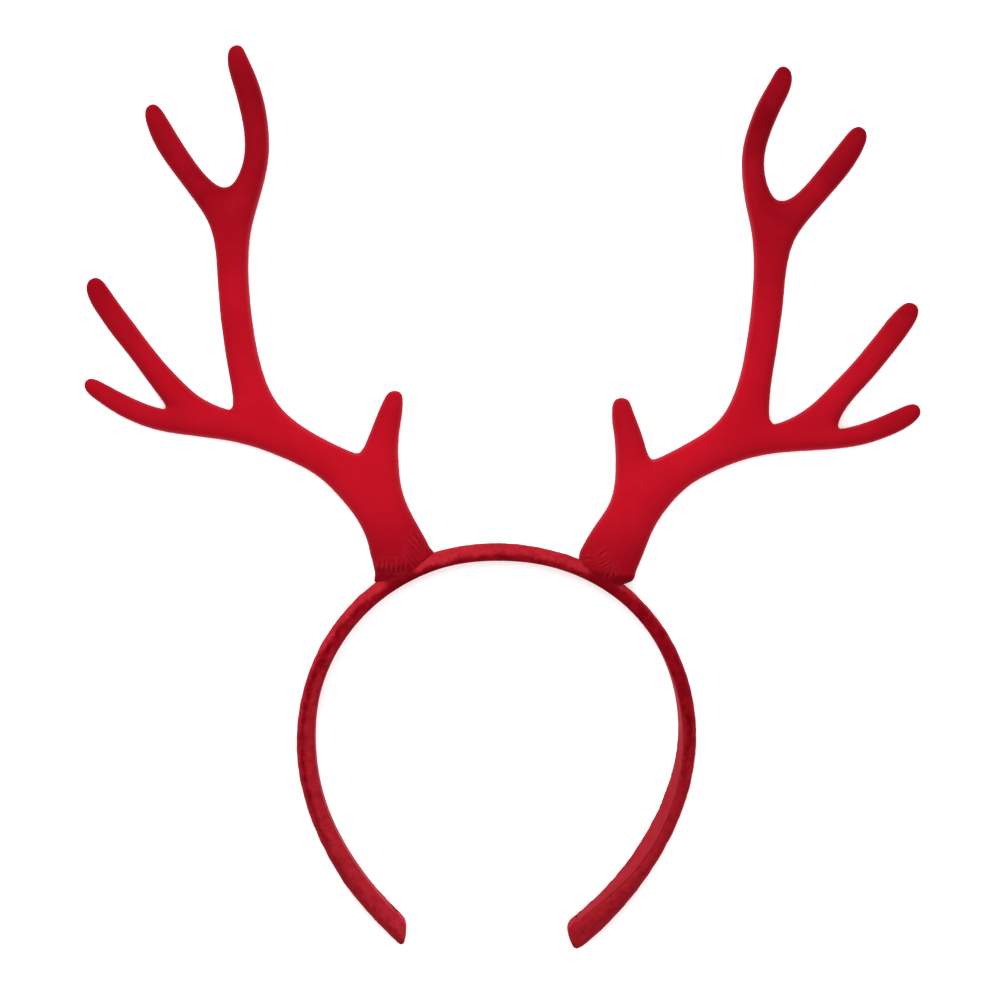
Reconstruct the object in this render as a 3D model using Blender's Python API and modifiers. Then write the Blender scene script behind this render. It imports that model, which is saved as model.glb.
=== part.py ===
"""Reindeer antler headband, lying on its back.

A padded C-shaped band with a ribbon inside it and two stuffed antlers sewn
over its outer edge. +X is the wearer's left as seen from the front, +Y runs
from the band's free ends to the antlers' tips, and +Z is the front.
"""

import math
from collections import namedtuple

import bmesh
import bpy
from mathutils import Matrix, Vector

# Driving sizes, in metres
BAND_RADIUS = 0.0680
BAND_THICKNESS = 0.0063
BAND_WIDTH = 0.0098
RIBBON_THICKNESS = 0.0010
RIBBON_WIDTH = 0.0074
RIBBON_INSET = 0.0055
ANTLER_SPAN = 0.1125
ANTLER_HEIGHT = 0.1840
BEAM_WIDTH = 0.0110
BEAM_DEPTH = 0.0095
FOOT_WIDTH = 0.0228
SKIRT_WALL = 0.0013
HEM_DROP = 0.0031
HEM_RADIUS = 0.0310
HEM_FACETS = 96
GATHER_DEPTH = 0.0005
GATHER_WIDTH = 0.0016
GATHER_TIP = 0.0001
SEAM_GAP = 0.0003

# The foot wraps the band, and the antlers lie with their whole back on the floor
FOOT_DEPTH = BAND_WIDTH + 2 * (SEAM_GAP + SKIRT_WALL)

# Smoothing pulls a ring inside its cage corners by these shares
TUBE_SWELL = 48 / 44
BAND_STEP = math.radians(9)
BEND_SWELL = 3 / (2 + math.cos(BAND_STEP))

# The band from its left end over the crown to its right end
# angle and turn in degrees, radius and thick as shares of the band's sizes
BandRow = namedtuple("BandRow", "angle radius thick turn")
BAND_ROWS = [
    BandRow(244.5, 1.077, 1.33, 0),
    BandRow(234, 1.041, 1.29, 0),
    BandRow(222, 1.000, 1.14, 0),
    BandRow(210, 0.981, 1.04, 0),
    BandRow(195, 0.977, 1.01, 0),
    BandRow(180, 0.981, 1.02, 0),
    BandRow(165, 0.991, 0.90, 0),
    BandRow(150, 0.997, 0.93, 0),
    BandRow(135, 1.000, 0.94, 0),
    BandRow(120, 1.000, 0.95, 0),
    BandRow(105, 0.999, 0.92, 0),
    BandRow(90, 0.995, 0.96, 0),
    BandRow(75, 1.000, 0.86, 0),
    BandRow(60, 1.012, 0.87, 0),
    BandRow(45, 1.016, 0.80, 0),
    BandRow(30, 1.011, 0.80, 0),
    BandRow(15, 0.998, 0.82, 4),
    BandRow(0, 0.983, 0.85, 11),
    BandRow(-15, 0.965, 0.89, 21),
    BandRow(-30, 0.959, 0.90, 28),
    BandRow(-45, 0.977, 1.09, 23),
    BandRow(-57, 1.010, 1.33, 10),
    BandRow(-69.5, 1.061, 1.53, 6),
]

# Each end of the band: how far its cut leans, in degrees, and how much the end narrows
EndShape = namedtuple("EndShape", "lean narrow")
LEFT_END = EndShape(28, 0.92)
RIGHT_END = EndShape(-14, 0.82)
END_ROUNDING = 0.0022

# The padded bar's outline, from the head side over the front to the domed outer side
# out and side are shares of half its thickness and half its width
BAR_OUTLINE = [(-1.04, 0.95), (-0.10, 1.12), (1.04, 0.55), (1.04, -0.55), (-0.10, -1.12), (-1.04, -0.95)]
# The two corners beside the head, and how sharp the bar's edges are there
HEAD_EDGES = (0, 5)
HEAD_EDGE_CREASE = 0.75

# Antler sections: out and up from the foot's middle as shares of span and height,
# heading in degrees from straight out to straight up, width and depth as shares of the beam's
Row = namedtuple("Row", "out up heading width depth")
Branch = namedtuple("Branch", "parent after high_side crotch")

# Where each branch leaves its parent: after which row, on which side, how sharp its crotch is
BRANCHES = {
    "brow_tine": Branch("beam", 3, True, 0.75),
    "upright": Branch("beam", 6, True, 0.8),
    "middle_tine": Branch("beam", 7, True, 0.85),
    "outer_top_tine": Branch("upright", 2, False, 0.0),
}

# The first two rows of a beam are its foot, in shares of FOOT_WIDTH and FOOT_DEPTH
FOOT_ROWS = 2

LEFT_ANTLER = {
    "beam": [
        Row(-0.016, -0.025, 63, 0.96, 1.00),
        Row(0.003, 0.009, 63, 1.00, 1.00),
        Row(0.041, 0.074, 65, 1.63, 1.29),
        Row(0.087, 0.132, 61, 1.56, 1.24),
        Row(0.199, 0.198, 49, 1.29, 1.16),
        Row(0.291, 0.229, 28, 1.06, 1.11),
        Row(0.408, 0.266, 22, 1.24, 1.11),
        Row(0.540, 0.279, 8, 0.83, 1.00),
        Row(0.756, 0.286, 14, 0.72, 0.89),
        Row(0.876, 0.314, 28, 0.68, 0.74),
        Row(0.949, 0.343, 28, 0.61, 0.63),
        Row(1.008, 0.366, 28, 0.46, 0.40),
    ],
    "brow_tine": [
        Row(0.076, 0.247, 96, 0.95, 1.00),
        Row(0.054, 0.296, 98, 0.80, 0.84),
        Row(0.042, 0.325, 95, 0.64, 0.66),
        Row(0.034, 0.349, 92, 0.45, 0.42),
    ],
    "upright": [
        Row(0.501, 0.370, 78, 0.99, 1.02),
        Row(0.540, 0.515, 85, 0.98, 0.98),
        Row(0.542, 0.648, 92, 1.00, 0.98),
        Row(0.498, 0.717, 107, 0.88, 0.95),
        Row(0.457, 0.796, 97, 0.72, 0.84),
        Row(0.473, 0.876, 82, 0.83, 0.84),
        Row(0.503, 0.939, 74, 0.80, 0.79),
        Row(0.529, 0.977, 72, 0.66, 0.63),
        Row(0.536, 1.008, 75, 0.47, 0.42),
    ],
    "outer_top_tine": [
        Row(0.631, 0.724, 42, 0.77, 0.84),
        Row(0.690, 0.769, 54, 0.76, 0.79),
        Row(0.745, 0.818, 59, 0.78, 0.77),
        Row(0.781, 0.861, 60, 0.70, 0.63),
        Row(0.803, 0.895, 66, 0.46, 0.42),
    ],
    "middle_tine": [
        Row(0.701, 0.328, 88, 1.17, 0.95),
        Row(0.763, 0.371, 68, 0.83, 0.84),
        Row(0.827, 0.420, 52, 0.72, 0.79),
        Row(0.905, 0.482, 52, 0.77, 0.77),
        Row(0.960, 0.530, 58, 0.75, 0.63),
        Row(0.985, 0.564, 65, 0.52, 0.42),
    ],
}

RIGHT_ANTLER = {
    "beam": [
        Row(-0.002, -0.009, 62, 0.88, 1.00),
        Row(0.022, 0.017, 62, 0.93, 1.00),
        Row(0.073, 0.082, 65, 1.77, 1.29),
        Row(0.117, 0.126, 61, 1.46, 1.24),
        Row(0.214, 0.192, 49, 1.29, 1.16),
        Row(0.311, 0.224, 30, 1.16, 1.11),
        Row(0.402, 0.253, 22, 1.29, 1.11),
        Row(0.534, 0.259, 8, 0.74, 1.00),
        Row(0.752, 0.258, 10, 0.61, 0.89),
        Row(0.868, 0.277, 22, 0.68, 0.74),
        Row(0.952, 0.301, 26, 0.68, 0.63),
        Row(1.010, 0.323, 28, 0.50, 0.40),
    ],
    "brow_tine": [
        Row(0.101, 0.255, 95, 0.92, 1.00),
        Row(0.081, 0.295, 97, 0.80, 0.84),
        Row(0.074, 0.320, 97, 0.63, 0.66),
        Row(0.072, 0.342, 92, 0.49, 0.42),
    ],
    "upright": [
        Row(0.490, 0.362, 80, 0.94, 1.02),
        Row(0.528, 0.505, 85, 0.99, 0.98),
        Row(0.539, 0.626, 92, 0.99, 0.98),
        Row(0.500, 0.702, 101, 0.80, 0.95),
        Row(0.474, 0.784, 93, 0.68, 0.84),
        Row(0.498, 0.847, 77, 0.75, 0.84),
        Row(0.538, 0.903, 67, 0.75, 0.79),
        Row(0.573, 0.938, 63, 0.70, 0.63),
        Row(0.589, 0.974, 65, 0.50, 0.42),
    ],
    "outer_top_tine": [
        Row(0.638, 0.702, 43, 0.75, 0.84),
        Row(0.706, 0.749, 48, 0.81, 0.79),
        Row(0.767, 0.796, 50, 0.80, 0.77),
        Row(0.799, 0.826, 56, 0.74, 0.63),
        Row(0.829, 0.857, 58, 0.48, 0.42),
    ],
    "middle_tine": [
        Row(0.704, 0.312, 92, 1.19, 0.95),
        Row(0.761, 0.351, 66, 0.84, 0.84),
        Row(0.834, 0.397, 52, 0.76, 0.79),
        Row(0.900, 0.448, 53, 0.79, 0.77),
        Row(0.956, 0.492, 53, 0.76, 0.63),
        Row(0.993, 0.521, 55, 0.51, 0.42),
    ],
}

# Each antler: which way is out (+1 is +X), where its foot sits on the band, its sections
Antler = namedtuple("Antler", "name out foot_angle branches")
ANTLERS = [
    Antler("left_antler", -1, 117.7, LEFT_ANTLER),
    Antler("right_antler", 1, 59.0, RIGHT_ANTLER),
]

# Gathers pressed into the front and back of each foot, starting at the hem
# across and length as shares of half the foot's width, lean in degrees
Gather = namedtuple("Gather", "across length lean")
GATHERS = [
    Gather(-0.66, 0.55, 14),
    Gather(-0.34, 0.80, 6),
    Gather(-0.04, 0.62, -4),
    Gather(0.26, 0.95, -12),
    Gather(0.56, 0.70, -20),
]

# name: base colour, roughness
COLOURS = {
    "headband": ((0.42, 0.012, 0.024, 1), 0.75),
    "inner_ribbon": ((0.50, 0.030, 0.045, 1), 0.60),
    "left_antler": ((0.50, 0.008, 0.022, 1), 0.85),
    "right_antler": ((0.50, 0.008, 0.022, 1), 0.85),
}


def clear_scene():
    for thing in list(bpy.data.objects):
        bpy.data.objects.remove(thing, do_unlink=True)


def new_collection(name):
    group = bpy.data.collections.new(name)
    bpy.context.scene.collection.children.link(group)
    return group


def cloth_material(name):
    colour, roughness = COLOURS[name]
    material = bpy.data.materials.new(name + "_cloth")
    material.use_nodes = True
    shader = material.node_tree.nodes["Principled BSDF"]
    shader.inputs["Base Color"].default_value = colour
    shader.inputs["Roughness"].default_value = roughness
    shader.inputs["Metallic"].default_value = 0.0
    return material


def finish_piece(bm, name, group, levels):
    """Turn a cage into a named object, smoothed by the given number of levels."""
    bmesh.ops.recalc_face_normals(bm, faces=bm.faces)
    mesh = bpy.data.meshes.new(name)
    bm.to_mesh(mesh)
    bm.free()
    piece = bpy.data.objects.new(name, mesh)
    group.objects.link(piece)
    if levels:
        smooth = piece.modifiers.new("smooth", "SUBSURF")
        smooth.levels = levels
        smooth.render_levels = levels
    return piece


def hide_cutter(cutter):
    cutter.hide_render = True
    cutter.display_type = "WIRE"


def cut(piece, cutter):
    modifier = piece.modifiers.new("cut_by_" + cutter.name, "BOOLEAN")
    modifier.operation = "DIFFERENCE"
    modifier.solver = "EXACT"
    modifier.object = cutter


def join_rings(bm, first, second, open_sides=()):
    """Close the wall between two rings of corners, leaving the open sides for branches."""
    count = len(first)
    for side in range(count):
        if side in open_sides:
            continue
        after = (side + 1) % count
        bm.faces.new([first[side], first[after], second[after], second[side]])


# The band


def band_at(degrees):
    """Radius, thickness and turn of the band at an angle, smooth between the table's rows."""
    rows = BAND_ROWS
    index = 0
    while index < len(rows) - 2 and degrees < rows[index + 1].angle:
        index += 1
    near = rows[index]
    far = rows[index + 1]
    before = rows[max(index - 1, 0)]
    beyond = rows[min(index + 2, len(rows) - 1)]
    share = (near.angle - degrees) / (near.angle - far.angle)
    run = near.angle - far.angle

    def blend(field):
        start = getattr(near, field)
        end = getattr(far, field)
        slope_in = (end - getattr(before, field)) / (before.angle - far.angle or 1) * run
        slope_out = (getattr(beyond, field) - start) / (near.angle - beyond.angle or 1) * run
        rise = share * share * (3 - 2 * share)
        return (start * (1 - rise) + end * rise + slope_in * share * (1 - share) ** 2
                - slope_out * share * share * (1 - share))

    return blend("radius") * BAND_RADIUS, blend("thick") * BAND_THICKNESS, math.radians(blend("turn"))


def band_point(degrees):
    radius = band_at(degrees)[0]
    angle = math.radians(degrees)
    return Vector((radius * math.cos(angle), radius * math.sin(angle), 0))


def band_frame(degrees, lean=0.0):
    """Middle, outward and frontward directions of the band's section at an angle."""
    along = (band_point(degrees - 1) - band_point(degrees + 1)).normalized()
    outward = Vector((-along.y, along.x, 0))
    turn = band_at(degrees)[2]
    front = Vector((0, 0, 1))
    turned_out = outward * math.cos(turn) - front * math.sin(turn)
    turned_front = front * math.cos(turn) + outward * math.sin(turn)
    if lean:
        turned_out = Matrix.Rotation(math.radians(lean), 3, "Z") @ turned_out
    return band_point(degrees), turned_out, turned_front


def band_angles():
    """Angles of the band's rings, evenly spaced from the left end to the right end."""
    first = BAND_ROWS[0].angle
    last = BAND_ROWS[-1].angle
    count = round(math.radians(first - last) / BAND_STEP)
    return [first + (last - first) * index / count for index in range(count + 1)]


def bar_ring(bm, degrees, grow, lean=0.0, narrow=1.0, shift=0.0):
    """One ring of the padded bar, grown on all sides and moved along the bar."""
    middle, outward, front = band_frame(degrees, lean)
    along = (band_point(degrees - 1) - band_point(degrees + 1)).normalized()
    stretch = 1 / math.cos(math.radians(lean))
    half_thick = (band_at(degrees)[1] / 2 * narrow + grow) * stretch
    half_width = BAND_WIDTH / 2 * narrow + grow
    middle = middle * BEND_SWELL + along * shift
    return [
        bm.verts.new(middle + outward * out * half_thick + front * side * half_width)
        for out, side in BAR_OUTLINE
    ]


def make_bar(name, group, grow=0.0):
    """The padded bar, or a cutter of the same shape grown by a gap."""
    bm = bmesh.new()
    angles = band_angles()
    rings = [bar_ring(bm, angles[0], grow, LEFT_END.lean, LEFT_END.narrow, -grow)]
    rings.append(bar_ring(bm, angles[0], grow, LEFT_END.lean, 1.0, END_ROUNDING))
    rings += [bar_ring(bm, degrees, grow) for degrees in angles[2:-1]]
    rings.append(bar_ring(bm, angles[-1], grow, RIGHT_END.lean, 1.0, -END_ROUNDING))
    rings.append(bar_ring(bm, angles[-1], grow, RIGHT_END.lean, RIGHT_END.narrow, grow))
    for first, second in zip(rings, rings[1:]):
        join_rings(bm, first, second)
    bm.faces.new(rings[0])
    bm.faces.new(rings[-1])
    crease = bm.edges.layers.float.new("crease_edge")
    for first, second in zip(rings, rings[1:]):
        for corner in HEAD_EDGES:
            bm.edges.get((first[corner], second[corner]))[crease] = HEAD_EDGE_CREASE
    return finish_piece(bm, name, group, 1)


def ribbon_ring(bm, degrees, grow, lean=0.0, shift=0.0):
    """One ring of the ribbon, sunk into the bar's head side up to its own face."""
    middle, outward, front = band_frame(degrees, lean)
    along = (band_point(degrees - 1) - band_point(degrees + 1)).normalized()
    stretch = 1 / math.cos(math.radians(lean))
    face = -(band_at(degrees)[1] / 2 + grow) * stretch
    back = face + (RIBBON_THICKNESS + 2 * grow) * stretch
    side = RIBBON_WIDTH / 2 + grow
    middle = middle + along * shift
    return [
        bm.verts.new(middle + outward * out + front * across)
        for out, across in ((back, side), (back, -side), (face, -side), (face, side))
    ]


def make_ribbon(name, group, grow=0.0):
    """The strip let into the bar's head side, or a cutter of the same shape grown by a gap."""
    bm = bmesh.new()
    angles = band_angles()
    inset = RIBBON_INSET - grow
    rings = [ribbon_ring(bm, angles[0], grow, LEFT_END.lean, inset)]
    rings += [ribbon_ring(bm, degrees, grow) for degrees in angles[2:-1]]
    rings.append(ribbon_ring(bm, angles[-1], grow, RIGHT_END.lean, -inset))
    for first, second in zip(rings, rings[1:]):
        join_rings(bm, first, second)
    bm.faces.new(rings[0])
    bm.faces.new(rings[-1])
    # The twisted strip and its cutter keep their gap only where both fold along the same diagonals
    bmesh.ops.triangulate(bm, faces=bm.faces, quad_method="FIXED")
    return finish_piece(bm, name, group, 0)


# The antlers


def antler_point(antler, out, up):
    root = band_point(antler.foot_angle)
    return root + Vector((antler.out * out * ANTLER_SPAN, up * ANTLER_HEIGHT, 0))


def heading_vector(antler, degrees):
    angle = math.radians(degrees)
    return Vector((antler.out * math.cos(angle), math.sin(angle), 0))


def antler_ring(bm, antler, row, is_foot):
    """Four cage corners: low front, high front, high back, low back."""
    width = row.width * (FOOT_WIDTH if is_foot else BEAM_WIDTH)
    depth = row.depth * (FOOT_DEPTH if is_foot else BEAM_DEPTH)
    middle = antler_point(antler, row.out, row.up)
    middle.z = (depth - FOOT_DEPTH) / 2
    across = heading_vector(antler, row.heading + 90) * width / 2 * TUBE_SWELL
    deep = Vector((0, 0, depth / 2 * TUBE_SWELL))
    return [
        bm.verts.new(middle - across + deep),
        bm.verts.new(middle + across + deep),
        bm.verts.new(middle + across - deep),
        bm.verts.new(middle - across - deep),
    ]


def branch_base(parent_rings, branch):
    """The corners of the open wall that a branch grows from, in the branch's own order."""
    near = parent_rings[branch.after]
    far = parent_rings[branch.after + 1]
    if branch.high_side:
        return [far[1], near[1], near[2], far[2]]
    return [near[0], far[0], far[3], near[3]]


def make_antler(antler, group):
    """One stuffed antler: a beam with branches, smoothed from a coarse cage."""
    bm = bmesh.new()
    crease = bm.edges.layers.float.new("crease_edge")
    rings = {}
    for name, rows in antler.branches.items():
        branch = BRANCHES.get(name)
        rings[name] = [
            antler_ring(bm, antler, row, branch is None and index < FOOT_ROWS)
            for index, row in enumerate(rows)
        ]
    for name, own in rings.items():
        branch = BRANCHES.get(name)
        run = list(own)
        if branch:
            base = branch_base(rings[branch.parent], branch)
            run.insert(0, base)
        else:
            bm.faces.new(own[0])
        bm.faces.new(own[-1])
        for index, (first, second) in enumerate(zip(run, run[1:])):
            row_index = index - 1 if branch else index
            open_sides = [
                1 if other.high_side else 3
                for other in BRANCHES.values()
                if other.parent == name and other.after == row_index
            ]
            join_rings(bm, first, second, open_sides)
    for name, branch in BRANCHES.items():
        far = rings[branch.parent][branch.after + 1]
        corner = (far[1], far[2]) if branch.high_side else (far[0], far[3])
        bm.edges.get(corner)[crease] = branch.crotch
    return finish_piece(bm, antler.name, group, 2)


def foot_axes(antler):
    """Where the foot's hem crosses its middle, and the ways along and across the foot."""
    foot = antler.branches["beam"][1]
    along = heading_vector(antler, foot.heading)
    across = heading_vector(antler, foot.heading + 90)
    middle = band_point(antler.foot_angle)
    half_thick = band_at(antler.foot_angle)[1] / 2
    hem = middle + along * (half_thick - HEM_DROP)
    return hem, along, across


def make_hem_trimmer(antler, group):
    """A block beyond the hem with a round bite, so that the hem hangs in a shallow curve."""
    hem, along, across = foot_axes(antler)
    size = FOOT_WIDTH * 2
    turn = Matrix((across, along, Vector((0, 0, 1)))).transposed().to_4x4()
    bm = bmesh.new()
    bmesh.ops.create_cube(bm, size=1)
    shape = Matrix.Diagonal((size, size, FOOT_DEPTH * 2, 1))
    place = Matrix.Translation(hem - along * size / 2 + along * HEM_DROP)
    bm.transform(place @ turn @ shape)
    block = finish_piece(bm, antler.name + "_hem_trimmer", group, 0)
    bm = bmesh.new()
    bmesh.ops.create_cone(bm, cap_ends=True, segments=HEM_FACETS, radius1=HEM_RADIUS, radius2=HEM_RADIUS,
                          depth=FOOT_DEPTH * 3)
    bm.transform(Matrix.Translation(hem + along * HEM_RADIUS))
    bite = finish_piece(bm, antler.name + "_hem_bite", group, 0)
    cut(block, bite)
    return block, bite


def make_gather_cutter(antler, group):
    """Thin spikes lying on the foot's front and back, each pressing one gather into it."""
    hem, along, across = foot_axes(antler)
    half = FOOT_WIDTH / 2
    bm = bmesh.new()
    for gather in GATHERS:
        length = gather.length * half
        lean = Matrix.Rotation(math.radians(gather.lean) * antler.out, 3, "Z")
        way = lean @ along
        for face in (1, -1):
            start = hem + across * gather.across * half - way * GATHER_DEPTH
            start.z = face * FOOT_DEPTH / 2 * math.sqrt(1 - gather.across ** 2)
            spike = bmesh.ops.create_cone(bm, cap_ends=True, segments=4, radius1=GATHER_WIDTH / 2,
                                          radius2=GATHER_TIP / 2, depth=length)
            turn = way.to_track_quat("Z", "X").to_matrix().to_4x4()
            place = Matrix.Translation(start + way * length / 2)
            bmesh.ops.transform(bm, matrix=place @ turn, verts=spike["verts"])
    return finish_piece(bm, antler.name + "_gathers", group, 0)


def rest_on_floor(pieces, everything):
    """Move the whole object so that its box stands centred on the origin."""
    bpy.context.view_layer.update()
    graph = bpy.context.evaluated_depsgraph_get()
    corners = []
    for piece in pieces:
        shape = piece.evaluated_get(graph)
        corners += [shape.matrix_world @ vert.co for vert in shape.data.vertices]
    low = Vector([min(corner[axis] for corner in corners) for axis in range(3)])
    high = Vector([max(corner[axis] for corner in corners) for axis in range(3)])
    shift = Vector((-(low.x + high.x) / 2, -(low.y + high.y) / 2, -low.z))
    for thing in everything:
        thing.location = shift


def main():
    clear_scene()
    group = new_collection("reindeer_antler_headband")
    cutters = new_collection("cutters")
    pieces = [make_bar("headband", group), make_ribbon("inner_ribbon", group)]
    tools = [make_bar("band_room", cutters, SEAM_GAP), make_ribbon("ribbon_room", cutters, SEAM_GAP)]
    cut(pieces[0], tools[1])
    for antler in ANTLERS:
        piece = make_antler(antler, group)
        block, bite = make_hem_trimmer(antler, cutters)
        gathers = make_gather_cutter(antler, cutters)
        cut(piece, tools[0])
        cut(piece, block)
        cut(piece, gathers)
        pieces.append(piece)
        tools += [block, bite, gathers]
    for piece in pieces:
        piece.data.materials.append(cloth_material(piece.name))
    for tool in tools:
        hide_cutter(tool)
    rest_on_floor(pieces, pieces + tools)


main()
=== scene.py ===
import math
from collections import namedtuple

import bmesh
import bpy
import numpy as np
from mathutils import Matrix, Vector, noise
from mathutils.bvhtree import BVHTree


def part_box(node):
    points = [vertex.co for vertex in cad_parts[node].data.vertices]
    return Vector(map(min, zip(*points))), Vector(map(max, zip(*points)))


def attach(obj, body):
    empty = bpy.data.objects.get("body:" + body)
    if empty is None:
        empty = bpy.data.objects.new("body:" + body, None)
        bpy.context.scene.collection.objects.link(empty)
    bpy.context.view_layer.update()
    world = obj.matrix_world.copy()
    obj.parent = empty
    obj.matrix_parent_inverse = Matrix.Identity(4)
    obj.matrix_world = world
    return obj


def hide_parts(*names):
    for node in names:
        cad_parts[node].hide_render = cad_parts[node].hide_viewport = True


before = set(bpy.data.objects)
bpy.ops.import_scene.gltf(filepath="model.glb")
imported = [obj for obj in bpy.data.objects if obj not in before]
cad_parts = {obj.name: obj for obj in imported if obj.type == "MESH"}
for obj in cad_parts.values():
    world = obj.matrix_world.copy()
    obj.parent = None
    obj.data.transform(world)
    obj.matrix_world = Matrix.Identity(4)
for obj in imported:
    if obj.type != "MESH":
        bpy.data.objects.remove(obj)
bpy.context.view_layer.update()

# Dresses the reindeer antler headband: velvet over the band and the stuffed antlers,
# a ribbon inside the band, and the studio that it lies in.

MM = 0.001

# The band's middle, and its radius at the crown and where the antlers' feet sit
BAND_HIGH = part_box("headband")[1]
CROWN_RADIUS = 70.6 * MM
BAND_MIDDLE = Vector((-2.1 * MM, BAND_HIGH.y - CROWN_RADIUS, 6.8 * MM))
ROOT_RADIUS = 67.8 * MM

# How finely each cover is meshed, and how many rounds of smoothing it gets
ANTLER_GRID = 0.50 * MM
BAND_GRID = 0.42 * MM
ANTLER_SMOOTHING = 16
BAND_SMOOTHING = 10

# How far the pile stands out of the cloth
PILE_HEIGHT = 0.14 * MM

# Kinds of unevenness: how wide their lumps are, how high these stand, where their noise starts,
# and how the place is stretched, where less than 1 makes lumps longer that way
Lumps = namedtuple("Lumps", "width height seed stretch", defaults=[(1, 1, 1)])
FILLING = Lumps(11 * MM, 0.16 * MM, 3.1)
ANTLER_PILE = Lumps(1.1 * MM, 0.035 * MM, 7.7)
BAND_CRUSH = Lumps(3.2 * MM, 0.13 * MM, 5.3, (1, 0.5, 0.5))
BAND_PILE = Lumps(1.1 * MM, 0.035 * MM, 2.9, (1, 0.4, 0.4))
SEED_SPREAD = (1, 1.7, -1)

# Painted light on the antlers: their colour is lighter beside each beam, from above its foot to its
# first fork, and darker with painted shade further off and round the tip of the brow tine
PAINTED_LIGHT_FROM = 25 * MM
PAINTED_LIGHT_REACH = 110 * MM
BROW_SHADE_REACH = 30 * MM

# How far a surface tilts away from level, as the height of its normal, before a painted sheen makes its
# pile look paler
PAINTED_SHEEN_FROM = 0.8

# The gathers sewn into the antlers' feet: each fold is a valley with a ridge on either side of it
FOLD_WIDTH = 0.42 * MM
FOLD_DEPTH = 0.38 * MM
FOLD_STEPS = 8
RIDGE_AWAY = 1.7 * FOLD_WIDTH
RIDGE_SHARE = 0.6
VALLEY_SHARE = 0.8

# How strongly the folds are drawn, between a faintest and a strongest, and how that varies
FOLD_STRENGTH = 0.65
FOLD_FAINTEST = 0.1
FOLD_STRONGEST = 1.3
FOLD_PATCHES = Lumps(1.8 * MM, 1.1, 9.2)

# How far the foot's finer mesh reaches, and the curve of its hem round the band
FOOT_REACH = 17 * MM
FOOT_HALF_WIDTH = 10.5 * MM
HEM_RADIUS = 31 * MM

# The stitches pull the cloth down to the band: how far up the foot they reach, what share of its
# height over the band is left, how far it sinks below that, and how much flatter its pile lies
HEM_PULL = 5.5 * MM
HEM_THINNING = 0.12
HEM_SINK = 0.05 * MM
HEM_FLATTENING = 0.8

# How softly the painted shade below each foot's line ends, and the weaker painted shade that fades out
# above it
FOOT_SHADE_BLUR = 2.8 * MM
FOOT_SHADE = 0.55
FOOT_SHADE_REACH = 27 * MM

# The band's colour is darkened with painted shadow under each foot: how far this reaches away from the
# crown and towards it
FOOT_SHADOW_OUT = 8 * MM
FOOT_SHADOW_IN = 3.3 * MM
FOOT_SHADOW_BLUR = 3.2 * MM

# Painted light and shade across the band, by angle round it, where the top light falls on its rounded
# section: how light it is along the outer edge, over what share of the width, over what share it is
# dark beyond that, and how light it is inside
PaintedLightRow = namedtuple("PaintedLightRow", "angle light light_to dark_to rest")
PAINTED_LIGHT_ROWS = [
    PaintedLightRow(-66, 0.55, 0.50, 0.50, 0.60),
    PaintedLightRow(-40, 0.50, 0.50, 0.50, 0.55),
    PaintedLightRow(-10, 0.35, 0.45, 0.50, 0.40),
    PaintedLightRow(15, 0.20, 0.15, 0.85, 0.20),
    PaintedLightRow(30, 0.50, 0.12, 0.95, 0.15),
    PaintedLightRow(48, 0.70, 0.28, 1.05, 0.10),
    PaintedLightRow(62, 0.65, 0.62, 0.90, 0.10),
    PaintedLightRow(72, 0.65, 0.70, 0.85, 0.10),
    PaintedLightRow(90, 0.65, 0.60, 0.85, 0.15),
    PaintedLightRow(106, 0.85, 0.78, 1.20, 0.00),
    PaintedLightRow(134, 0.85, 0.48, 0.80, 0.20),
    PaintedLightRow(146, 0.90, 0.36, 0.75, 0.30),
    PaintedLightRow(158, 0.70, 0.20, 0.60, 0.40),
    PaintedLightRow(182, 0.45, 0.25, 0.50, 0.50),
    PaintedLightRow(212, 0.35, 0.35, 0.40, 0.70),
    PaintedLightRow(245, 0.50, 0.40, 0.40, 0.95),
]

# How softly the painted light turns to painted shade, how that line wanders and how a finer noise frays
# it, as shares of the band's width
PAINTED_LIGHT_BLUR = 0.26
PAINTED_LIGHT_WANDER = Lumps(6 * MM, 0.10, 1.3)
PAINTED_LIGHT_FRAY = Lumps(1.3 * MM, 0.12, 6.1)

# Each antler: its side, where its foot sits on the band, the way it rises, its first fork, its brow
# tine's tip, and how much painted shade lies there
Antler = namedtuple("Antler", "name out root_angle heading fork brow dullness")
ANTLERS = [
    Antler("left_antler", -1, 117.7, 63, (-88 * MM, 33 * MM), (-38 * MM, 36 * MM), 0.04),
    Antler("right_antler", 1, 59.0, 62, (89 * MM, 29 * MM), (41 * MM, 33 * MM), 0.42),
]

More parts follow.
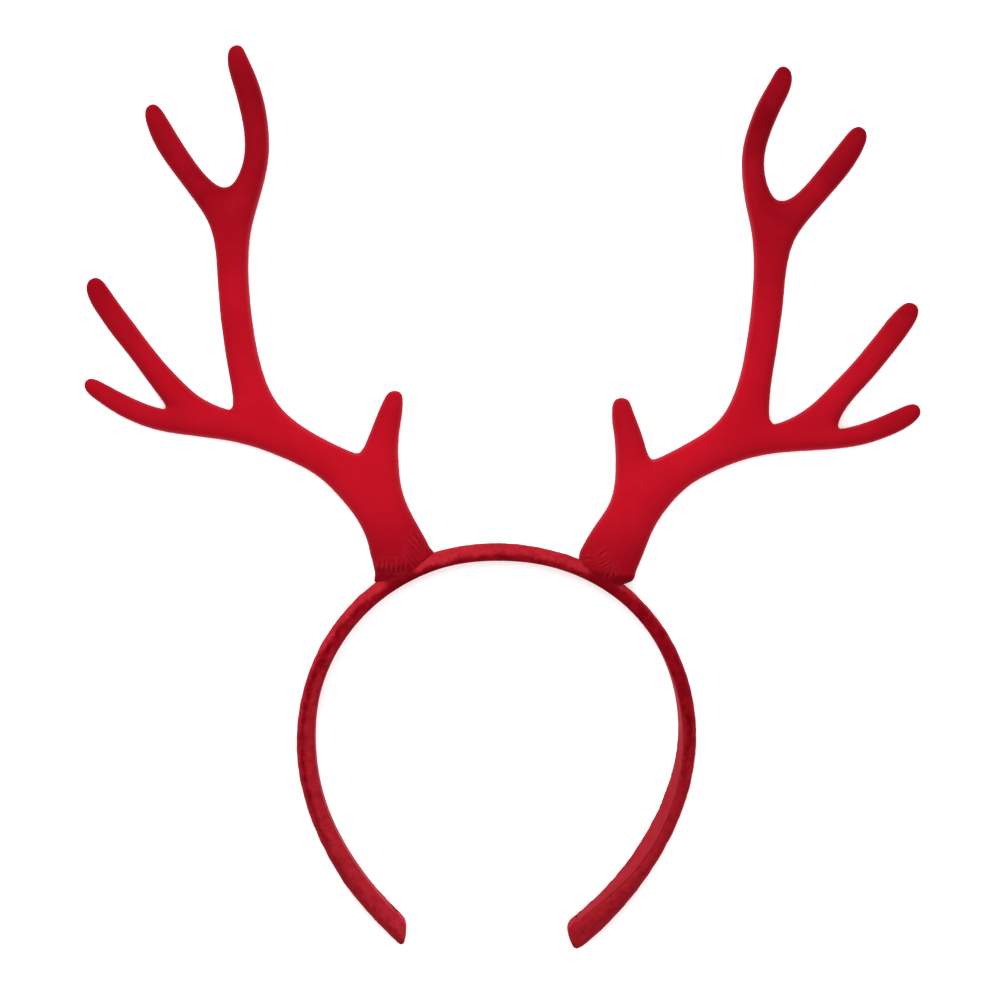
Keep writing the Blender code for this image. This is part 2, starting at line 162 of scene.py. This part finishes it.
# Folds in each foot's cloth, as three points in millimetres from the foot's middle:
# to the right along the hem, and up the foot
Fold = namedtuple("Fold", "right1 up1 right2 up2 right3 up3")
FOLDS = {
    "left_antler": [
        Fold(8.7, 11.7, 9.4, 7.3, 9.2, 4.7),
        Fold(6.8, 11.0, 8.0, 6.3, 8.6, 4.1),
        Fold(5.2, 10.3, 6.5, 5.9, 7.3, 3.2),
        Fold(4.6, 9.7, 5.3, 5.4, 6.5, 2.5),
        Fold(4.0, 7.4, 4.9, 3.3, 5.5, 1.3),
        Fold(3.0, 5.9, 3.6, 2.7, 4.0, 1.0),
        Fold(1.5, 4.7, 0.5, 2.6, -0.6, 0.9),
        Fold(0.1, 5.4, -1.0, 3.4, -2.0, 1.6),
        Fold(-1.5, 6.2, -2.5, 4.1, -3.6, 2.4),
        Fold(-3.0, 7.0, -4.0, 4.9, -5.1, 3.1),
        Fold(-4.3, 7.7, -5.4, 5.6, -6.5, 3.9),
        Fold(-6.2, 8.0, -7.0, 6.4, -8.0, 4.6),
    ],
    "right_antler": [
        Fold(-8.0, 3.5, -6.8, 4.9, -3.9, 6.3),
        Fold(-3.6, 7.1, -2.9, 8.8, -1.9, 10.7),
        Fold(-2.2, 5.6, -1.1, 7.9, -0.4, 9.1),
        Fold(-2.4, 4.1, -0.6, 5.7, -0.1, 8.0),
        Fold(-2.1, 3.0, 0.5, 5.0, 1.7, 7.6),
        Fold(-0.5, 3.0, 1.7, 4.5, 2.7, 7.3),
        Fold(2.3, 6.1, 2.7, 4.8, 2.8, 3.6),
        Fold(3.4, 5.9, 4.0, 4.6, 4.8, 3.0),
        Fold(3.3, 7.8, 4.2, 6.6, 5.0, 5.4),
        Fold(2.4, 3.7, 2.7, 2.6, 3.0, 1.7),
    ],
}

# The line below which each foot's colour is darkened with painted shade, from left to right in the same
# millimetres
FOOT_SHADE_LINES = {
    "left_antler": [(-9.3, 7.6), (-4.7, 5.6), (-1.4, 4.0), (2.7, 2.8), (5.5, 1.8), (10.6, 2.8)],
    "right_antler": [(-8.7, 2.4), (-4.4, 2.0), (-0.6, 3.4), (3.9, 4.8), (8.2, 6.2), (11.4, 8.4)],
}

# Where a corner of a foot's hem flares out or is drawn in, and how far to the right, in millimetres
Flare = namedtuple("Flare", "right up push")
FLARES = {
    "left_antler": [Flare(-9.8, 2.5, -1.3), Flare(10.8, 2.0, 0.8), Flare(-9.2, 12.2, -0.35)],
    "right_antler": [Flare(11.2, 5.8, 0.6), Flare(10.8, 2.0, -1.6), Flare(-9.5, 2.5, 0.6)],
}
FLARE_REACH = 2.0 * MM

# The ribbon's facets: how near doubled points lie, how flat and how square two triangles are that
# make one face, how sharp an edge has to be to stay one and how firmly it does, and how often the
# faces are split to round them
RIBBON_WELD = 0.01 * MM
RIBBON_FLAT = 0.6
RIBBON_SQUARE = 1.5
RIBBON_CORNER = math.radians(50)
RIBBON_CREASE = 0.8
RIBBON_ROUNDING = 3

# Reds of the antlers' velvet, as linear light: a shaded and a lit red for the painted light along the
# beam, then random patches and pile tips
ANTLER_SHADED_RED = (0.105, 0.0006, 0.0028)
ANTLER_LIT_RED = (0.238, 0.0022, 0.0070)
PATCH_RED = (0.36, 0.006, 0.015)
TIP_RED = (0.42, 0.018, 0.028)
# Painted sheen, paler and pinker, for the steep sides
PAINTED_SHEEN_RED = (0.36, 0.040, 0.058)
# Painted shade for the folds' valleys and painted highlight for their ridges
FOLD_SHADE_RED = (0.08, 0.0006, 0.0022)
FOLD_HIGHLIGHT_RED = (0.31, 0.014, 0.026)

# Painted shade on the feet and painted shadow under them on the band, and the most share of the red
# beneath that it covers
PAINTED_SHADE_RED = (0.098, 0.0010, 0.0030)
PAINTED_SHADE_SHARE = 0.85

# Reds of the band's crushed velvet, as a shaded and a lit copy for its painted light and shade, each
# with random patches, then streaks and pile tips; and reds of the ribbon
CRUSHED_SHADED = (0.092, 0.0007, 0.0024)
CRUSHED_SHADED_PATCH = (0.160, 0.0022, 0.0056)
CRUSHED_LIT = (0.185, 0.0016, 0.0056)
CRUSHED_LIT_PATCH = (0.285, 0.0075, 0.0140)
CRUSHED_STREAK = (0.34, 0.016, 0.026)
CRUSHED_TIP = (0.40, 0.060, 0.075)
RIBBON_RED = (0.175, 0.0045, 0.0090)
RIBBON_PATCH = (0.235, 0.0110, 0.0170)
RIBBON_TIP = (0.33, 0.03, 0.04)

# The middle of Blender's noise, and how many tufts of pile there are to each tip
NOISE_MIDDLE = 0.5
TUFTS_TO_A_TIP = 0.33

# The floor and the sky
WHITE = (1, 1, 1, 1)
FLOOR_WHITE = (0.95, 0.95, 0.95, 1)
FLOOR_GLOW = 0.20
FLOOR_REACH = 3
SKY_STRENGTH = 1.05

# Soft lights: where each one hangs, what it points at, how wide it is and its power in watts
Softbox = namedtuple("Softbox", "name place target width power")
SOFTBOXES = [
    Softbox("top light", (-0.25, 0.72, 0.66), (0, 0, 0), 0.6, 8.0),
    Softbox("left beam light", (-0.104, 0.05, 0.26), (-0.104, 0.05, 0), 0.14, 0.24),
    Softbox("right beam light", (0.116, 0.05, 0.26), (0.116, 0.05, 0), 0.14, 0.24),
]

# The camera looks straight down on the headband
CAMERA_HEIGHT = 0.95
FRAME_WIDTH = 0.3493
FRAME_MIDDLE = (-0.9 * MM, -1.4 * MM)
SENSOR_WIDTH = 36


# Making fine covers out of the frame's solids


def copy_node(node, name):
    """A copy of a CAD node, as a piece of its own."""
    piece = bpy.data.objects.new(name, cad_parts[node].data.copy())
    bpy.context.scene.collection.objects.link(piece)
    return piece


def apply_modifiers(piece):
    """Turn a piece's modifiers into its mesh."""
    graph = bpy.context.evaluated_depsgraph_get()
    mesh = bpy.data.meshes.new_from_object(piece.evaluated_get(graph))
    piece.modifiers.clear()
    piece.data = mesh


def shade_smooth(piece):
    """Shade every face of a piece as part of a curved surface."""
    for face in piece.data.polygons:
        face.use_smooth = True


def fine_cover(node, name, grid, rounds):
    """A finely and evenly meshed copy of a CAD node, with its flat facets smoothed away."""
    cover = copy_node(node, name)
    fine = cover.modifiers.new("fine grid", "REMESH")
    fine.mode = "VOXEL"
    fine.voxel_size = grid
    fine.use_smooth_shade = True
    smooth = cover.modifiers.new("smooth", "SMOOTH")
    smooth.iterations = rounds
    apply_modifiers(cover)
    return cover


def mesh_finer(cover, middle, reach):
    """Halve the grid of a cover round a point."""
    bm = bmesh.new()
    bm.from_mesh(cover.data)
    close = [
        edge for edge in bm.edges
        if all((vert.co - middle).length < reach for vert in edge.verts)
    ]
    bmesh.ops.subdivide_edges(bm, edges=close, cuts=1, use_grid_fill=True)
    bm.to_mesh(cover.data)
    bm.free()
    shade_smooth(cover)


def points_of(cover, field="co"):
    """The points, or the normals, of a cover as rows of three numbers."""
    found = np.empty(len(cover.data.vertices) * 3)
    cover.data.vertices.foreach_get(field, found)
    return found.reshape(-1, 3)


def move_points(cover, points):
    """Put the points of a cover in new places."""
    cover.data.vertices.foreach_set("co", points.ravel())
    cover.data.update()


def raise_surface(cover, heights):
    """Move each point of a cover out along its normal."""
    move_points(cover, points_of(cover) + points_of(cover, "normal") * heights[:, None])


def uneven(points, kind):
    """Soft noise at each point, of a kind of lumps, up to about their height up or down."""
    start = Vector([kind.seed * share for share in SEED_SPREAD])
    places = points * kind.stretch
    return kind.height * np.array([noise.noise(Vector(place) / kind.width + start) for place in places])


def remember(cover, name, values):
    """Store one number, or three, at each point of a cover, for its material to read."""
    kind = "FLOAT" if values.ndim == 1 else "FLOAT_VECTOR"
    field = "value" if values.ndim == 1 else "vector"
    cover.data.attributes.new(name, kind, "POINT").data.foreach_set(field, values.ravel())


def ease(values):
    """A soft step from 0 to 1."""
    clipped = np.clip(values, 0, 1)
    return clipped * clipped * (3 - 2 * clipped)


def past(values, line, blur):
    """0 before a line and 1 beyond it, with a soft step as wide as the blur across it."""
    return ease((values - line) / blur + 0.5)


def distance_to_line(flat, start, end):
    """Distance in the plane from each point to a straight line between two points."""
    run = end - start
    share = np.clip((flat - start) @ run / (run @ run), 0, 1)
    return np.linalg.norm(flat - start - share[:, None] * run, axis=1)


def clothe(piece, cloth):
    """Give a piece one material and no other."""
    piece.data.materials.clear()
    piece.data.materials.append(cloth)


# The antlers


def foot_axes(antler):
    """The foot's middle on the band, and the ways to the right along the hem and up the foot."""
    angle = math.radians(antler.root_angle)
    middle = BAND_MIDDLE + ROOT_RADIUS * Vector((math.cos(angle), math.sin(angle), 0))
    rise = math.radians(antler.heading)
    up = Vector((antler.out * math.cos(rise), math.sin(rise), 0))
    right = Vector((up.y, -up.x, 0))
    return middle, right, up


def on_foot(antler, points):
    """How far to the right along the hem and up the foot each point lies."""
    middle, right, up = foot_axes(antler)
    offset = points - np.array(middle)
    return np.stack([offset @ np.array(right), offset @ np.array(up)], axis=1)


def hem_share(antler, points):
    """1 at a foot's hem, easing to 0 a little way up the foot."""
    right, up = on_foot(antler, points).T
    hem = HEM_RADIUS - np.sqrt(HEM_RADIUS ** 2 - np.clip(right, -FOOT_HALF_WIDTH, FOOT_HALF_WIDTH) ** 2)
    return 1 - ease((up - hem) / HEM_PULL)


def pull_hem_down(cover, antler):
    """Draw the foot's cloth in towards the band beside the hem, where it is sewn down."""
    band = BVHTree.FromObject(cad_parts["headband"], bpy.context.evaluated_depsgraph_get())
    points = points_of(cover)
    share = hem_share(antler, points)
    for index in np.flatnonzero(share > 0):
        point = Vector(points[index])
        nearest, _, _, away = band.find_nearest(point)
        drawn = away + share[index] * (max(HEM_THINNING * away - HEM_SINK, 0) - away)
        points[index] = nearest + (point - nearest) * drawn / away
    move_points(cover, points)


def flare_hem(cover, antler):
    """Push the corners of the hem out or in, as the stitches left them."""
    points = points_of(cover)
    right = foot_axes(antler)[1]
    flat = on_foot(antler, points)
    for flare in FLARES[antler.name]:
        away = np.linalg.norm(flat - np.array([flare.right, flare.up]) * MM, axis=1)
        push = flare.push * MM * np.exp(-(away / FLARE_REACH) ** 2)
        points += push[:, None] * np.array(right)
    move_points(cover, points)


def foot_folds(antler, points):
    """How deep each point lies in a fold of its foot, and how high on a ridge beside one."""
    flat = on_foot(antler, points)
    valleys = np.zeros(len(points))
    ridges = np.zeros(len(points))
    for fold in FOLDS[antler.name]:
        start, middle, end = np.array(fold).reshape(3, 2) * MM
        shares = np.linspace(0, 1, FOLD_STEPS + 1)[:, None]
        line = start * (1 - shares) ** 2 + middle * 2 * shares * (1 - shares) + end * shares ** 2
        aways = np.array([distance_to_line(flat, *pair) for pair in zip(line, line[1:])])
        away = aways.min(axis=0)
        fade = np.sin(np.pi * (aways.argmin(axis=0) + 1) / (FOLD_STEPS + 1))
        valleys = np.maximum(valleys, fade * np.exp(-(away / FOLD_WIDTH) ** 2))
        ridges = np.maximum(ridges, fade * np.exp(-((away - RIDGE_AWAY) / FOLD_WIDTH) ** 2))
    strength = np.clip(FOLD_STRENGTH + uneven(points, FOLD_PATCHES), FOLD_FAINTEST, FOLD_STRONGEST)
    return valleys * strength, ridges * (1 - valleys) * strength


def painted_foot_shade(antler, points):
    """Painted shade: 1 below the line where a foot is sewn down to the band, with a weaker share fading
    out up the foot.
    """
    right, up = on_foot(antler, points).T
    corners = np.array(FOOT_SHADE_LINES[antler.name]) * MM
    line = np.interp(right, corners[:, 0], corners[:, 1])
    sewn = 1 - past(up, line, FOOT_SHADE_BLUR)
    shade = FOOT_SHADE * (1 - ease((up - line) / FOOT_SHADE_REACH))
    return np.maximum(sewn, shade)


def painted_antler_light(antler, points):
    """Painted light on an antler: lightest beside the beam, with painted shade further off and by the
    brow tine's tip.
    """
    middle, _, up = foot_axes(antler)
    flat = points[:, :2]
    away = distance_to_line(flat, np.array((middle + up * PAINTED_LIGHT_FROM).xy), np.array(antler.fork))
    from_brow = np.linalg.norm(flat - np.array(antler.brow), axis=1)
    brow_shade_share = antler.dullness * ease(1 - from_brow / BROW_SHADE_REACH)
    return 1 - ease(away / PAINTED_LIGHT_REACH) - brow_shade_share


def make_antler(antler, velvet):
    """Velvet over one stuffed antler, gathered where it is sewn to the band."""
    cover = fine_cover(antler.name, antler.name + "_velvet", ANTLER_GRID, ANTLER_SMOOTHING)
    middle, _, up = foot_axes(antler)
    mesh_finer(cover, middle + up * FOOT_REACH / 3, FOOT_REACH)
    pull_hem_down(cover, antler)
    flare_hem(cover, antler)
    points = points_of(cover)
    valleys, ridges = foot_folds(antler, points)
    facing = np.abs(points_of(cover, "normal")[:, 2])
    heights = PILE_HEIGHT + uneven(points, FILLING) + uneven(points, ANTLER_PILE)
    heights *= 1 - HEM_FLATTENING * hem_share(antler, points)
    heights += FOLD_DEPTH * (RIDGE_SHARE * ridges - VALLEY_SHARE * valleys)
    raise_surface(cover, heights)
    # Painted light along the beam, with painted shade further off and round the brow tine's tip
    remember(cover, "painted_light", painted_antler_light(antler, points))
    # Painted shade in the folds' valleys and painted highlight on their ridges, weaker on steep sides
    remember(cover, "valley", valleys * facing)
    remember(cover, "ridge", ridges * facing)
    # Painted shade low on each foot
    remember(cover, "painted_shade", painted_foot_shade(antler, points))
    # A painted sheen where the surface tilts away from level
    remember(cover, "painted_sheen", ease((PAINTED_SHEEN_FROM - facing) / PAINTED_SHEEN_FROM))
    clothe(cover, velvet)
    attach(cover, "root")
    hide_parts(antler.name)


# The band and its ribbon


def unrolled(points):
    """How far along the band, out from its middle and up each point lies, in metres."""
    offset = points - np.array(BAND_MIDDLE)
    along = np.arctan2(offset[:, 0], offset[:, 1]) * ROOT_RADIUS
    outward = np.hypot(offset[:, 0], offset[:, 1])
    return np.stack([along, outward, offset[:, 2]], axis=1)


def painted_band_light(points):
    """Painted light and shade across the band at each point, from 0 for shaded to 1 for lit."""
    # Angles run once round, from the band's opening at -90 degrees, and each degree is one slot
    offset = points - np.array(BAND_MIDDLE)
    angle = (np.degrees(np.arctan2(offset[:, 1], offset[:, 0])) + 90) % 360 - 90
    radius = np.hypot(offset[:, 0], offset[:, 1])
    slot = np.round(angle).astype(int) + 90
    inner = np.full(360, np.inf)
    outer = np.zeros(360)
    np.minimum.at(inner, slot, radius)
    np.maximum.at(outer, slot, radius)
    inward = (outer[slot] - radius) / (outer[slot] - inner[slot])
    inward += uneven(points, PAINTED_LIGHT_WANDER) + uneven(points, PAINTED_LIGHT_FRAY)
    rows = np.array(PAINTED_LIGHT_ROWS).T
    light, light_to, dark_to, rest = (np.interp(angle, rows[0], column) for column in rows[1:])
    along_edge = light * (1 - past(inward, light_to, PAINTED_LIGHT_BLUR))
    return along_edge + rest * past(inward, dark_to, PAINTED_LIGHT_BLUR)


def shadow_of_feet(points):
    """Painted shadow: 1 where the antlers' feet shade the band, 0 away from them."""
    painted_shade = np.zeros(len(points))
    for antler in ANTLERS:
        flat = on_foot(antler, points)
        side = -antler.out * flat[:, 0]
        edge_out = past(side, -FOOT_SHADOW_OUT, FOOT_SHADOW_BLUR)
        edge_in = 1 - past(side, FOOT_SHADOW_IN, FOOT_SHADOW_BLUR)
        near = np.linalg.norm(flat, axis=1) < 2 * FOOT_SHADOW_OUT
        painted_shade = np.maximum(painted_shade, edge_out * edge_in * near)
    return painted_shade


def make_band(velvet):
    """Crushed velvet over the padded band."""
    cover = fine_cover("headband", "band_velvet", BAND_GRID, BAND_SMOOTHING)
    points = points_of(cover)
    lay = unrolled(points)
    raise_surface(cover, PILE_HEIGHT + uneven(lay, BAND_CRUSH) + uneven(lay, BAND_PILE))
    remember(cover, "lay", lay)
    # Painted light and shade across the band's width
    remember(cover, "painted_light", painted_band_light(points))
    # Painted shadow of the antlers' feet on the band
    remember(cover, "painted_shade", shadow_of_feet(points))
    clothe(cover, velvet)
    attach(cover, "root")
    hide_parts("headband")


def make_ribbon(cloth):
    """The ribbon in the band's groove: the CAD strip with its long facets rounded off."""
    strip = copy_node("inner_ribbon", "lining_ribbon")
    bm = bmesh.new()
    bm.from_mesh(strip.data)
    bmesh.ops.remove_doubles(bm, verts=bm.verts, dist=RIBBON_WELD)
    bmesh.ops.join_triangles(
        bm, faces=bm.faces, angle_face_threshold=RIBBON_FLAT, angle_shape_threshold=RIBBON_SQUARE,
    )
    crease = bm.edges.layers.float.new("crease_edge")
    for edge in bm.edges:
        edge[crease] = RIBBON_CREASE if edge.calc_face_angle(0) > RIBBON_CORNER else 0
        edge.smooth = edge[crease] == 0
    bm.to_mesh(strip.data)
    bm.free()
    shade_smooth(strip)
    rounded = strip.modifiers.new("rounded", "SUBSURF")
    rounded.levels = RIBBON_ROUNDING
    rounded.render_levels = RIBBON_ROUNDING
    apply_modifiers(strip)
    remember(strip, "lay", unrolled(points_of(strip)))
    clothe(strip, cloth)
    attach(strip, "root")
    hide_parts("inner_ribbon")


# Building materials out of nodes


def new_node(tree, kind, **values):
    """Add a node, and set its properties or its input values by name."""
    node = tree.nodes.new(kind)
    for name, value in values.items():
        if name in node.inputs:
            node.inputs[name].default_value = value
        else:
            setattr(node, name, value)
    return node


def feed(tree, source, socket):
    """Link another node's output to a socket, or give the socket a number or a colour."""
    if isinstance(source, bpy.types.NodeSocket):
        tree.links.new(source, socket)
    elif socket.type == "RGBA":
        socket.default_value = (*source, 1)
    else:
        socket.default_value = source


def reckon(tree, operation, first, second, **settings):
    """One step of arithmetic on two terms, worked out at each point."""
    node = new_node(tree, "ShaderNodeMath", operation=operation, **settings)
    feed(tree, first, node.inputs[0])
    feed(tree, second, node.inputs[1])
    return node.outputs[0]


def stored(tree, name, output="Fac"):
    """What a piece remembers under a name at each of its points."""
    return new_node(tree, "ShaderNodeAttribute", attribute_name=name).outputs[output]


def mix_colours(tree, share, dark, light):
    """A mix of two colours by a mask. Each colour is a value or another node's output."""
    mix = new_node(tree, "ShaderNodeMix", data_type="RGBA")
    feed(tree, share, mix.inputs["Factor"])
    feed(tree, dark, mix.inputs[6])
    feed(tree, light, mix.inputs[7])
    return mix.outputs[2]


def lay_over(tree, below, mask, most, colour):
    """A colour laid over another by a mask, and by no more than the given share."""
    share = new_node(tree, "ShaderNodeMapRange")
    share.inputs["To Max"].default_value = most
    feed(tree, mask, share.inputs["Value"])
    return mix_colours(tree, share.outputs["Result"], below, colour)


def add_bump(tree, shader, height, strength, distance):
    """Tilt a shader's light by a fine height."""
    bump = new_node(tree, "ShaderNodeBump", Strength=strength, Distance=distance)
    feed(tree, height, bump.inputs["Height"])
    feed(tree, bump.outputs["Normal"], shader.inputs["Normal"])


def new_group(name, takes, gives):
    """An empty shader node group with named inputs and outputs."""
    group = bpy.data.node_groups.new(name, "ShaderNodeTree")
    for title, kind, value in takes:
        socket = group.interface.new_socket(title, in_out="INPUT", socket_type=kind)
        if value is not None:
            socket.default_value = value
    for title, kind in gives:
        group.interface.new_socket(title, in_out="OUTPUT", socket_type=kind)
    return group, group.nodes.new("NodeGroupInput"), group.nodes.new("NodeGroupOutput")


def use_group(tree, group, place, **values):
    """Add a node group that is laid out by a place, with its other inputs by name."""
    node = new_node(tree, "ShaderNodeGroup", node_tree=group)
    feed(tree, place, node.inputs["Place"])
    for name, value in values.items():
        node.inputs[name.replace("_", " ")].default_value = value
    return node


def make_nap_group():
    """Patches where the pile lies the other way, from 0 for dark to 1 for light."""
    group, given, result = new_group(
        "nap_patches",
        [("Place", "NodeSocketVector", None), ("Stretch", "NodeSocketVector", (1, 1, 1)),
         ("Patches per Metre", "NodeSocketFloat", 100.0), ("Contrast", "NodeSocketFloat", 1.0)],
        [("Light", "NodeSocketFloat")],
    )
    stretched = new_node(group, "ShaderNodeVectorMath", operation="MULTIPLY")
    feed(group, given.outputs["Place"], stretched.inputs[0])
    feed(group, given.outputs["Stretch"], stretched.inputs[1])
    patches = new_node(group, "ShaderNodeTexNoise", Detail=3.0, Roughness=0.55, Distortion=0.4)
    feed(group, stretched.outputs[0], patches.inputs["Vector"])
    feed(group, given.outputs["Patches per Metre"], patches.inputs["Scale"])
    centred = reckon(group, "SUBTRACT", patches.outputs["Fac"], NOISE_MIDDLE)
    spread = reckon(group, "MULTIPLY", centred, given.outputs["Contrast"])
    light = reckon(group, "ADD", spread, NOISE_MIDDLE, use_clamp=True)
    feed(group, light, result.inputs["Light"])
    return group


def make_pile_group():
    """The tips of the pile: a fine grain as a light mask, and with its tufts as a height."""
    group, given, result = new_group(
        "pile_tips",
        [("Place", "NodeSocketVector", None), ("Tips per Metre", "NodeSocketFloat", 2500.0)],
        [("Light", "NodeSocketFloat"), ("Height", "NodeSocketFloat")],
    )
    tips = new_node(group, "ShaderNodeTexNoise", Detail=2.0, Roughness=0.7)
    tufts = new_node(group, "ShaderNodeTexNoise", Detail=1.0, Roughness=0.5)
    for grain in (tips, tufts):
        feed(group, given.outputs["Place"], grain.inputs["Vector"])
    tips_per_metre = given.outputs["Tips per Metre"]
    feed(group, tips_per_metre, tips.inputs["Scale"])
    feed(group, reckon(group, "MULTIPLY", tips_per_metre, TUFTS_TO_A_TIP), tufts.inputs["Scale"])
    both = reckon(group, "ADD", tips.outputs["Fac"], tufts.outputs["Fac"])
    feed(group, tips.outputs["Fac"], result.inputs["Light"])
    feed(group, reckon(group, "MULTIPLY", both, 0.5), result.inputs["Height"])
    return group


# Materials


def new_material(name, values):
    """A material with the given values for the inputs of its shader."""
    material = bpy.data.materials.new(name)
    material.use_nodes = True
    shader = material.node_tree.nodes["Principled BSDF"]
    for title, value in values.items():
        shader.inputs[title].default_value = value
    return material, material.node_tree, shader


def new_cloth(name, roughness, sheen, sheen_colour, sheen_roughness):
    """A material for cloth that takes its colour and normal from what is linked to it later."""
    return new_material(name, {
        "Roughness": roughness,
        "Specular IOR Level": 0.0,
        "Sheen Weight": sheen,
        "Sheen Tint": (*sheen_colour, 1),
        "Sheen Roughness": sheen_roughness,
    })


def make_antler_velvet(nap, pile):
    """Short red pile with soft patches where it lies the other way, and painted light that makes it
    brighter along the beam.
    """
    material, tree, shader = new_cloth(
        "antler_velvet", roughness=0.95,
        sheen=0.22, sheen_colour=(1.0, 0.22, 0.28), sheen_roughness=0.30,
    )
    place = new_node(tree, "ShaderNodeTexCoord").outputs["Object"]
    patches = use_group(tree, nap, place, Patches_per_Metre=50.0, Contrast=2.4)
    tips = use_group(tree, pile, place, Tips_per_Metre=1900.0)
    # Painted light: a shaded red and a lit red, mixed by the painted light along the beam
    red = mix_colours(tree, stored(tree, "painted_light"), ANTLER_SHADED_RED, ANTLER_LIT_RED)
    red = lay_over(tree, red, patches.outputs["Light"], 0.26, PATCH_RED)
    red = lay_over(tree, red, tips.outputs["Light"], 0.08, TIP_RED)
    # Painted sheen on the steep sides
    red = lay_over(tree, red, stored(tree, "painted_sheen"), 0.55, PAINTED_SHEEN_RED)
    # Painted shade low on the feet
    red = lay_over(tree, red, stored(tree, "painted_shade"), PAINTED_SHADE_SHARE, PAINTED_SHADE_RED)
    # Painted shade in the folds and painted highlight on their ridges
    red = lay_over(tree, red, stored(tree, "valley"), 0.35, FOLD_SHADE_RED)
    red = lay_over(tree, red, stored(tree, "ridge"), 0.42, FOLD_HIGHLIGHT_RED)
    feed(tree, red, shader.inputs["Base Color"])
    add_bump(tree, shader, tips.outputs["Height"], strength=0.35, distance=0.25 * MM)
    return material


def make_band_velvet(nap, pile):
    """Crushed velvet: patches that run a little along the band, and short streaks across it."""
    material, tree, shader = new_cloth(
        "band_velvet", roughness=0.9,
        sheen=0.30, sheen_colour=(1.0, 0.14, 0.19), sheen_roughness=0.35,
    )
    lay = stored(tree, "lay", "Vector")
    patches = use_group(tree, nap, lay, Patches_per_Metre=420.0, Contrast=2.8, Stretch=(0.7, 1, 1))
    streaks = use_group(tree, nap, lay, Patches_per_Metre=900.0, Contrast=3.0, Stretch=(1, 0.6, 0.6))
    tips = use_group(tree, pile, lay, Tips_per_Metre=2600.0)
    # A shaded and a lit copy of the crushed velvet, mixed below by the painted light and shade
    dark = mix_colours(tree, patches.outputs["Light"], CRUSHED_SHADED, CRUSHED_SHADED_PATCH)
    light = mix_colours(tree, patches.outputs["Light"], CRUSHED_LIT, CRUSHED_LIT_PATCH)
    light = lay_over(tree, light, streaks.outputs["Light"], 0.38, CRUSHED_STREAK)
    light = lay_over(tree, light, tips.outputs["Light"], 0.14, CRUSHED_TIP)
    red = mix_colours(tree, stored(tree, "painted_light"), dark, light)
    # Painted shadow under the antlers' feet
    red = lay_over(tree, red, stored(tree, "painted_shade"), PAINTED_SHADE_SHARE, PAINTED_SHADE_RED)
    feed(tree, red, shader.inputs["Base Color"])
    add_bump(tree, shader, streaks.outputs["Light"], strength=0.35, distance=0.35 * MM)
    return material


def make_ribbon_cloth(nap, pile):
    """The paler ribbon, with a fine grain."""
    material, tree, shader = new_cloth(
        "ribbon_cloth", roughness=0.8,
        sheen=0.20, sheen_colour=(1.0, 0.30, 0.34), sheen_roughness=0.3,
    )
    lay = stored(tree, "lay", "Vector")
    patches = use_group(tree, nap, lay, Patches_per_Metre=300.0, Contrast=1.6, Stretch=(0.5, 1, 1))
    tips = use_group(tree, pile, lay, Tips_per_Metre=3200.0)
    red = mix_colours(tree, patches.outputs["Light"], RIBBON_RED, RIBBON_PATCH)
    red = lay_over(tree, red, tips.outputs["Light"], 0.28, RIBBON_TIP)
    feed(tree, red, shader.inputs["Base Color"])
    add_bump(tree, shader, tips.outputs["Height"], strength=0.4, distance=0.2 * MM)
    return material


# The studio


def make_floor():
    """A plain pale floor, with a faint glow that lightens the shadows."""
    material, _, _ = new_material("pale_floor", {
        "Base Color": FLOOR_WHITE,
        "Emission Color": WHITE,
        "Emission Strength": FLOOR_GLOW,
        "Roughness": 0.9,
        "Specular IOR Level": 0.0,
    })
    bm = bmesh.new()
    bmesh.ops.create_grid(bm, x_segments=1, y_segments=1, size=FLOOR_REACH)
    mesh = bpy.data.meshes.new("floor")
    bm.to_mesh(mesh)
    bm.free()
    mesh.materials.append(material)
    floor = bpy.data.objects.new("floor", mesh)
    bpy.context.scene.collection.objects.link(floor)


def hang_softbox(softbox):
    """A square soft light that points at a target."""
    light = bpy.data.lights.new(softbox.name, "AREA")
    light.size = softbox.width
    light.energy = softbox.power
    lamp = bpy.data.objects.new(softbox.name, light)
    place = Vector(softbox.place)
    lamp.location = place
    lamp.rotation_euler = (Vector(softbox.target) - place).to_track_quat("-Z", "Y").to_euler()
    bpy.context.scene.collection.objects.link(lamp)


def light_studio():
    """The soft lights, and a white sky all round."""
    for softbox in SOFTBOXES:
        hang_softbox(softbox)
    world = bpy.data.worlds.new("studio")
    bpy.context.scene.world = world
    world.use_nodes = True
    world.node_tree.nodes["Background"].inputs["Color"].default_value = WHITE
    world.node_tree.nodes["Background"].inputs["Strength"].default_value = SKY_STRENGTH
    bpy.context.scene.view_settings.view_transform = "Standard"


def place_camera():
    """A camera over the headband, with a lens that fits the frame's width to its sensor."""
    camera = bpy.data.objects.new("camera", bpy.data.cameras.new("camera"))
    bpy.context.scene.collection.objects.link(camera)
    camera.location = (*FRAME_MIDDLE, CAMERA_HEIGHT)
    camera.data.sensor_width = SENSOR_WIDTH
    camera.data.lens = SENSOR_WIDTH * (CAMERA_HEIGHT - BAND_MIDDLE.z) / FRAME_WIDTH
    bpy.context.scene.camera = camera


nap_patches = make_nap_group()
pile_tips = make_pile_group()
antler_velvet = make_antler_velvet(nap_patches, pile_tips)
for antler in ANTLERS:
    make_antler(antler, antler_velvet)
make_band(make_band_velvet(nap_patches, pile_tips))
make_ribbon(make_ribbon_cloth(nap_patches, pile_tips))
make_floor()
light_studio()
place_camera()
